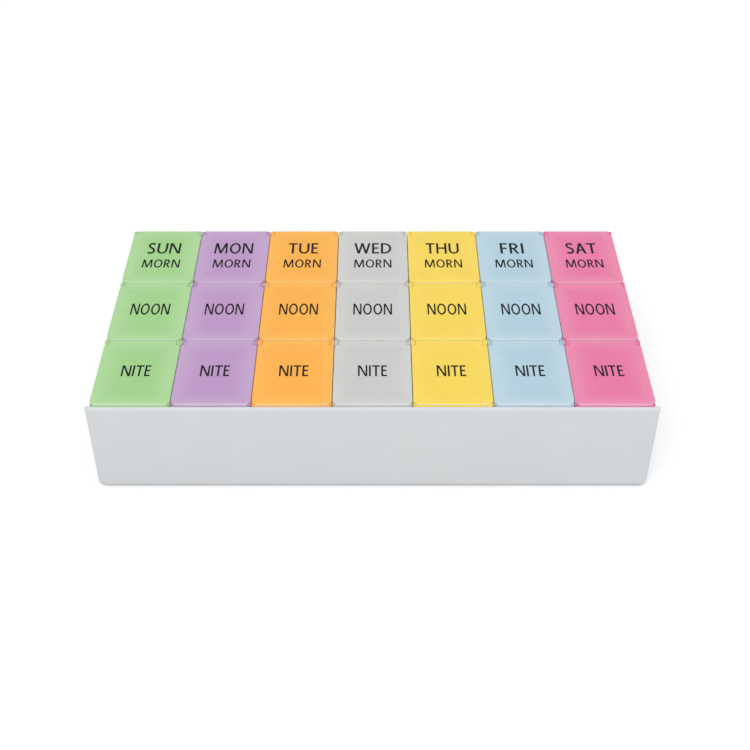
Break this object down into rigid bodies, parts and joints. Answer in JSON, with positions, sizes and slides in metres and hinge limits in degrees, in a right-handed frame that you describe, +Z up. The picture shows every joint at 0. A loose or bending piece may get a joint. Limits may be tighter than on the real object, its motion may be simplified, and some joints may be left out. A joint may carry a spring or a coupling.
{
  "type": "weekly pill organiser tray",
  "caption": "Flat open tray holding lift-out pill boxes side by side, one per weekday, each a row of cups with flip lids hinged at the rear.",
  "frame": {"origin": "middle of the tray's underside, on the surface it stands on", "axes": "+X to the right along the week, from Sunday to Saturday; +Y to the rear, where the lids' hinges and the morning cups are; +Z up"},
  "size_m": [0.1994, 0.1128, 0.0388],
  "materials": {
    "tray_plastic": "moulded light grey polypropylene, satin",
    "print_ink": "black pad-printed ink of the day and cup names on the lids",
    "sunday_plastic": "translucent leaf green polypropylene, satin",
    "monday_plastic": "translucent lilac purple polypropylene, satin",
    "tuesday_plastic": "translucent orange polypropylene, satin",
    "wednesday_plastic": "translucent pale grey, near clear polypropylene, satin",
    "thursday_plastic": "translucent yellow polypropylene, satin",
    "friday_plastic": "translucent pale blue polypropylene, satin",
    "saturday_plastic": "translucent pink polypropylene, satin"
  },
  "bodies": {
    "tray": {"tray": "tray_plastic"},
    "sunday_box": {"sunday_box": "sunday_plastic"},
    "sunday_night_lid": {"sunday_night_lid": "sunday_plastic"},
    "sunday_noon_lid": {"sunday_noon_lid": "sunday_plastic"},
    "sunday_morning_lid": {"sunday_morning_lid": "sunday_plastic"},
    "monday_box": {"monday_box": "monday_plastic"},
    "monday_night_lid": {"monday_night_lid": "monday_plastic"},
    "monday_noon_lid": {"monday_noon_lid": "monday_plastic"},
    "monday_morning_lid": {"monday_morning_lid": "monday_plastic"},
    "tuesday_box": {"tuesday_box": "tuesday_plastic"},
    "tuesday_night_lid": {"tuesday_night_lid": "tuesday_plastic"},
    "tuesday_noon_lid": {"tuesday_noon_lid": "tuesday_plastic"},
    "tuesday_morning_lid": {"tuesday_morning_lid": "tuesday_plastic"},
    "wednesday_box": {"wednesday_box": "wednesday_plastic"},
    "wednesday_night_lid": {"wednesday_night_lid": "wednesday_plastic"},
    "wednesday_noon_lid": {"wednesday_noon_lid": "wednesday_plastic"},
    "wednesday_morning_lid": {"wednesday_morning_lid": "wednesday_plastic"},
    "thursday_box": {"thursday_box": "thursday_plastic"},
    "thursday_night_lid": {"thursday_night_lid": "thursday_plastic"},
    "thursday_noon_lid": {"thursday_noon_lid": "thursday_plastic"},
    "thursday_morning_lid": {"thursday_morning_lid": "thursday_plastic"},
    "friday_box": {"friday_box": "friday_plastic"},
    "friday_night_lid": {"friday_night_lid": "friday_plastic"},
    "friday_noon_lid": {"friday_noon_lid": "friday_plastic"},
    "friday_morning_lid": {"friday_morning_lid": "friday_plastic"},
    "saturday_box": {"saturday_box": "saturday_plastic"},
    "saturday_night_lid": {"saturday_night_lid": "saturday_plastic"},
    "saturday_noon_lid": {"saturday_noon_lid": "saturday_plastic"},
    "saturday_morning_lid": {"saturday_morning_lid": "saturday_plastic"}
  },
  "joints": [
    {"name": "sunday_lift", "type": "slide", "parent": "tray", "child": "sunday_box", "axis": [0, 0, 1], "range_m": [0, 0.046]},
    {"name": "sunday_night_hinge", "type": "hinge", "parent": "sunday_box", "child": "sunday_night_lid", "pos_m": [-0.084, -0.0199, 0.0375], "axis": [-1, 0, 0], "range_deg": [0, 95]},
    {"name": "sunday_noon_hinge", "type": "hinge", "parent": "sunday_box", "child": "sunday_noon_lid", "pos_m": [-0.084, 0.0161, 0.0375], "axis": [-1, 0, 0], "range_deg": [0, 95]},
    {"name": "sunday_morning_hinge", "type": "hinge", "parent": "sunday_box", "child": "sunday_morning_lid", "pos_m": [-0.084, 0.0521, 0.0375], "axis": [-1, 0, 0], "range_deg": [0, 115]},
    {"name": "monday_lift", "type": "slide", "parent": "tray", "child": "monday_box", "axis": [0, 0, 1], "range_m": [0, 0.046]},
    {"name": "monday_night_hinge", "type": "hinge", "parent": "monday_box", "child": "monday_night_lid", "pos_m": [-0.056, -0.0199, 0.0375], "axis": [-1, 0, 0], "range_deg": [0, 95]},
    {"name": "monday_noon_hinge", "type": "hinge", "parent": "monday_box", "child": "monday_noon_lid", "pos_m": [-0.056, 0.0161, 0.0375], "axis": [-1, 0, 0], "range_deg": [0, 95]},
    {"name": "monday_morning_hinge", "type": "hinge", "parent": "monday_box", "child": "monday_morning_lid", "pos_m": [-0.056, 0.0521, 0.0375], "axis": [-1, 0, 0], "range_deg": [0, 115]},
    {"name": "tuesday_lift", "type": "slide", "parent": "tray", "child": "tuesday_box", "axis": [0, 0, 1], "range_m": [0, 0.046]},
    {"name": "tuesday_night_hinge", "type": "hinge", "parent": "tuesday_box", "child": "tuesday_night_lid", "pos_m": [-0.028, -0.0199, 0.0375], "axis": [-1, 0, 0], "range_deg": [0, 95]},
    {"name": "tuesday_noon_hinge", "type": "hinge", "parent": "tuesday_box", "child": "tuesday_noon_lid", "pos_m": [-0.028, 0.0161, 0.0375], "axis": [-1, 0, 0], "range_deg": [0, 95]},
    {"name": "tuesday_morning_hinge", "type": "hinge", "parent": "tuesday_box", "child": "tuesday_morning_lid", "pos_m": [-0.028, 0.0521, 0.0375], "axis": [-1, 0, 0], "range_deg": [0, 115]},
    {"name": "wednesday_lift", "type": "slide", "parent": "tray", "child": "wednesday_box", "axis": [0, 0, 1], "range_m": [0, 0.046]},
    {"name": "wednesday_night_hinge", "type": "hinge", "parent": "wednesday_box", "child": "wednesday_night_lid", "pos_m": [0, -0.0199, 0.0375], "axis": [-1, 0, 0], "range_deg": [0, 95]},
    {"name": "wednesday_noon_hinge", "type": "hinge", "parent": "wednesday_box", "child": "wednesday_noon_lid", "pos_m": [0, 0.0161, 0.0375], "axis": [-1, 0, 0], "range_deg": [0, 95]},
    {"name": "wednesday_morning_hinge", "type": "hinge", "parent": "wednesday_box", "child": "wednesday_morning_lid", "pos_m": [0, 0.0521, 0.0375], "axis": [-1, 0, 0], "range_deg": [0, 115]},
    {"name": "thursday_lift", "type": "slide", "parent": "tray", "child": "thursday_box", "axis": [0, 0, 1], "range_m": [0, 0.046]},
    {"name": "thursday_night_hinge", "type": "hinge", "parent": "thursday_box", "child": "thursday_night_lid", "pos_m": [0.028, -0.0199, 0.0375], "axis": [-1, 0, 0], "range_deg": [0, 95]},
    {"name": "thursday_noon_hinge", "type": "hinge", "parent": "thursday_box", "child": "thursday_noon_lid", "pos_m": [0.028, 0.0161, 0.0375], "axis": [-1, 0, 0], "range_deg": [0, 95]},
    {"name": "thursday_morning_hinge", "type": "hinge", "parent": "thursday_box", "child": "thursday_morning_lid", "pos_m": [0.028, 0.0521, 0.0375], "axis": [-1, 0, 0], "range_deg": [0, 115]},
    {"name": "friday_lift", "type": "slide", "parent": "tray", "child": "friday_box", "axis": [0, 0, 1], "range_m": [0, 0.046]},
    {"name": "friday_night_hinge", "type": "hinge", "parent": "friday_box", "child": "friday_night_lid", "pos_m": [0.056, -0.0199, 0.0375], "axis": [-1, 0, 0], "range_deg": [0, 95]},
    {"name": "friday_noon_hinge", "type": "hinge", "parent": "friday_box", "child": "friday_noon_lid", "pos_m": [0.056, 0.0161, 0.0375], "axis": [-1, 0, 0], "range_deg": [0, 95]},
    {"name": "friday_morning_hinge", "type": "hinge", "parent": "friday_box", "child": "friday_morning_lid", "pos_m": [0.056, 0.0521, 0.0375], "axis": [-1, 0, 0], "range_deg": [0, 115]},
    {"name": "saturday_lift", "type": "slide", "parent": "tray", "child": "saturday_box", "axis": [0, 0, 1], "range_m": [0, 0.046]},
    {"name": "saturday_night_hinge", "type": "hinge", "parent": "saturday_box", "child": "saturday_night_lid", "pos_m": [0.084, -0.0199, 0.0375], "axis": [-1, 0, 0], "range_deg": [0, 95]},
    {"name": "saturday_noon_hinge", "type": "hinge", "parent": "saturday_box", "child": "saturday_noon_lid", "pos_m": [0.084, 0.0161, 0.0375], "axis": [-1, 0, 0], "range_deg": [0, 95]},
    {"name": "saturday_morning_hinge", "type": "hinge", "parent": "saturday_box", "child": "saturday_morning_lid", "pos_m": [0.084, 0.0521, 0.0375], "axis": [-1, 0, 0], "range_deg": [0, 115]}
  ]
}
